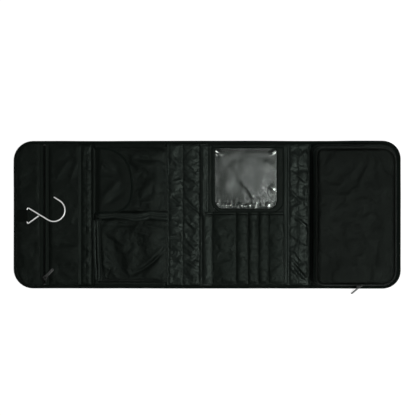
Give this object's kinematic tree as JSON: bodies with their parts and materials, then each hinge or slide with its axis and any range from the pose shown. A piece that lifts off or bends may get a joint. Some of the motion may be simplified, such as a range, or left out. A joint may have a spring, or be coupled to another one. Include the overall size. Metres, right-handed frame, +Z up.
{
  "type": "toiletry bag",
  "caption": "Hanging fold-out toiletry bag laid open: hook panel, pocket panel, brush panel with clear window flap and a zipped box pouch, joined by cloth spines.",
  "frame": {"origin": "on the underside of the brush panel, at the middle of the open bag's length and width", "axes": "+X along the open bag towards the pouch, +Y across it towards the window flap, +Z up, away from the surface that it lies on"},
  "size_m": [0.7132, 0.2823, 0.03],
  "materials": {
    "nylon": "woven black nylon, matt",
    "lining": "light black nylon taffeta, slight sheen",
    "binding": "ribbed black edge tape",
    "webbing": "woven black webbing",
    "zip_tape": "knitted black zip tape",
    "zip_teeth": "black moulded zip teeth",
    "vinyl": "clear soft vinyl sheet",
    "steel": "bright plated steel wire",
    "gunmetal": "dark nickel plated zinc"
  },
  "bodies": {
    "brush_panel": {"brush_panel_shell": "nylon", "brush_panel_binding_upper": "binding", "brush_panel_binding_lower": "binding", "brush_channel_sheet": "lining", "brush_mouth_binding": "binding", "window_flap_hem": "nylon"},
    "window_flap": {"window_flap_frame": "nylon", "clear_window": "vinyl"},
    "wide_spine": {"wide_spine_cloth": "nylon", "wide_spine_lining": "lining"},
    "pocket_panel": {"pocket_panel_shell": "nylon", "pocket_panel_binding_upper": "binding", "pocket_panel_binding_lower": "binding", "flap_pocket_front": "nylon", "open_pocket_front": "nylon", "pocket_divider_tape": "binding", "open_pocket_mouth_band": "binding", "pocket_flap_hem": "nylon"},
    "pocket_flap": {"pocket_flap": "nylon", "pocket_flap_binding": "binding"},
    "narrow_spine": {"narrow_spine_cloth": "nylon", "narrow_spine_lining": "lining"},
    "hook_panel": {"hook_panel_shell": "nylon", "hook_panel_binding": "binding", "hook_lining_left": "nylon", "hook_lining_right": "nylon", "hook_zip_tape_left": "zip_tape", "hook_zip_tape_right": "zip_tape", "hook_zip_teeth_left": "zip_teeth", "hook_zip_teeth_right": "zip_teeth", "hook_zip_stop_upper": "gunmetal", "hook_zip_stop_lower": "gunmetal", "hook_strap": "webbing"},
    "hook": {"wire_hook": "steel"},
    "hook_slider": {"hook_zip_slider": "gunmetal"},
    "hook_pull": {"hook_zip_pull": "gunmetal"},
    "pouch_spine": {"pouch_spine_cloth": "nylon", "pouch_spine_lining": "lining"},
    "pouch": {"pouch_base": "nylon", "pouch_binding": "binding", "pouch_lower_gusset": "nylon", "pouch_rear_gusset": "nylon", "pouch_rear_top": "nylon", "pouch_rear_piping": "binding", "pouch_zip_lower_row": "zip_teeth"},
    "pouch_lid": {"pouch_lid_panel": "nylon", "pouch_lid_gusset": "nylon", "pouch_lid_piping": "binding", "pouch_zip_upper_row": "zip_teeth"},
    "pouch_slider": {"pouch_zip_slider": "gunmetal"},
    "pouch_pull": {"pouch_zip_pull": "gunmetal"}
  },
  "joints": [
    {"name": "wide_spine_fold", "type": "hinge", "parent": "brush_panel", "child": "wide_spine", "pos_m": [-0.01162, 0, 0.0004], "axis": [0, 1, 0], "range_deg": [0, 75]},
    {"name": "pocket_panel_fold", "type": "hinge", "parent": "wide_spine", "child": "pocket_panel", "pos_m": [-0.07178, 0, 0.0004], "axis": [0, 1, 0], "range_deg": [0, 105]},
    {"name": "narrow_spine_fold", "type": "hinge", "parent": "pocket_panel", "child": "narrow_spine", "pos_m": [-0.21377, 0, 0.0004], "axis": [0, 1, 0], "range_deg": [0, 90]},
    {"name": "hook_panel_fold", "type": "hinge", "parent": "narrow_spine", "child": "hook_panel", "pos_m": [-0.23308, 0, 0.0004], "axis": [0, 1, 0], "range_deg": [0, 90]},
    {"name": "pouch_spine_fold", "type": "hinge", "parent": "brush_panel", "child": "pouch_spine", "pos_m": [0.15038, 0, 0.0004], "axis": [0, -1, 0], "range_deg": [0, 90]},
    {"name": "pouch_fold", "type": "hinge", "parent": "pouch_spine", "child": "pouch", "pos_m": [0.18787, 0, 0.0004], "axis": [0, -1, 0], "range_deg": [0, 90]},
    {"name": "hook_flip", "type": "hinge", "parent": "hook_panel", "child": "hook", "pos_m": [-0.33158, 0, 0.00705], "axis": [0, 1, 0], "range_deg": [-170, 0]},
    {"name": "pocket_flap_lift", "type": "hinge", "parent": "pocket_panel", "child": "pocket_flap", "pos_m": [-0.20627, 0.06315, 0.00535], "axis": [0, 1, 0], "range_deg": [-140, 0]},
    {"name": "window_flap_lift", "type": "hinge", "parent": "brush_panel", "child": "window_flap", "pos_m": [0.07558, 0.125, 0.0046], "axis": [1, 0, 0], "range_deg": [-170, 0]},
    {"name": "pouch_lid_lift", "type": "hinge", "parent": "pouch", "child": "pouch_lid", "pos_m": [0.28908, 0, 0.03], "axis": [0, -1, 0], "range_deg": [-150, 0]},
    {"name": "hook_zip_slide", "type": "slide", "parent": "hook_panel", "child": "hook_slider", "axis": [0, -1, 0], "range_m": [-0.08, 0]},
    {"name": "hook_pull_lift", "type": "hinge", "parent": "hook_slider", "child": "hook_pull", "pos_m": [-0.30038, -0.1175, 0.00695], "axis": [-0.7314, 0.682, 0], "range_deg": [-150, 0]},
    {"name": "pouch_zip_slide", "type": "slide", "parent": "pouch", "child": "pouch_slider", "axis": [1, 0, 0], "range_m": [-0.06, 0]},
    {"name": "pouch_pull_lift", "type": "hinge", "parent": "pouch_slider", "child": "pouch_pull", "pos_m": [0.28008, -0.13309, 0.01695], "axis": [0.7933, -0.0797, -0.6037], "range_deg": [-130, 0]}
  ]
}
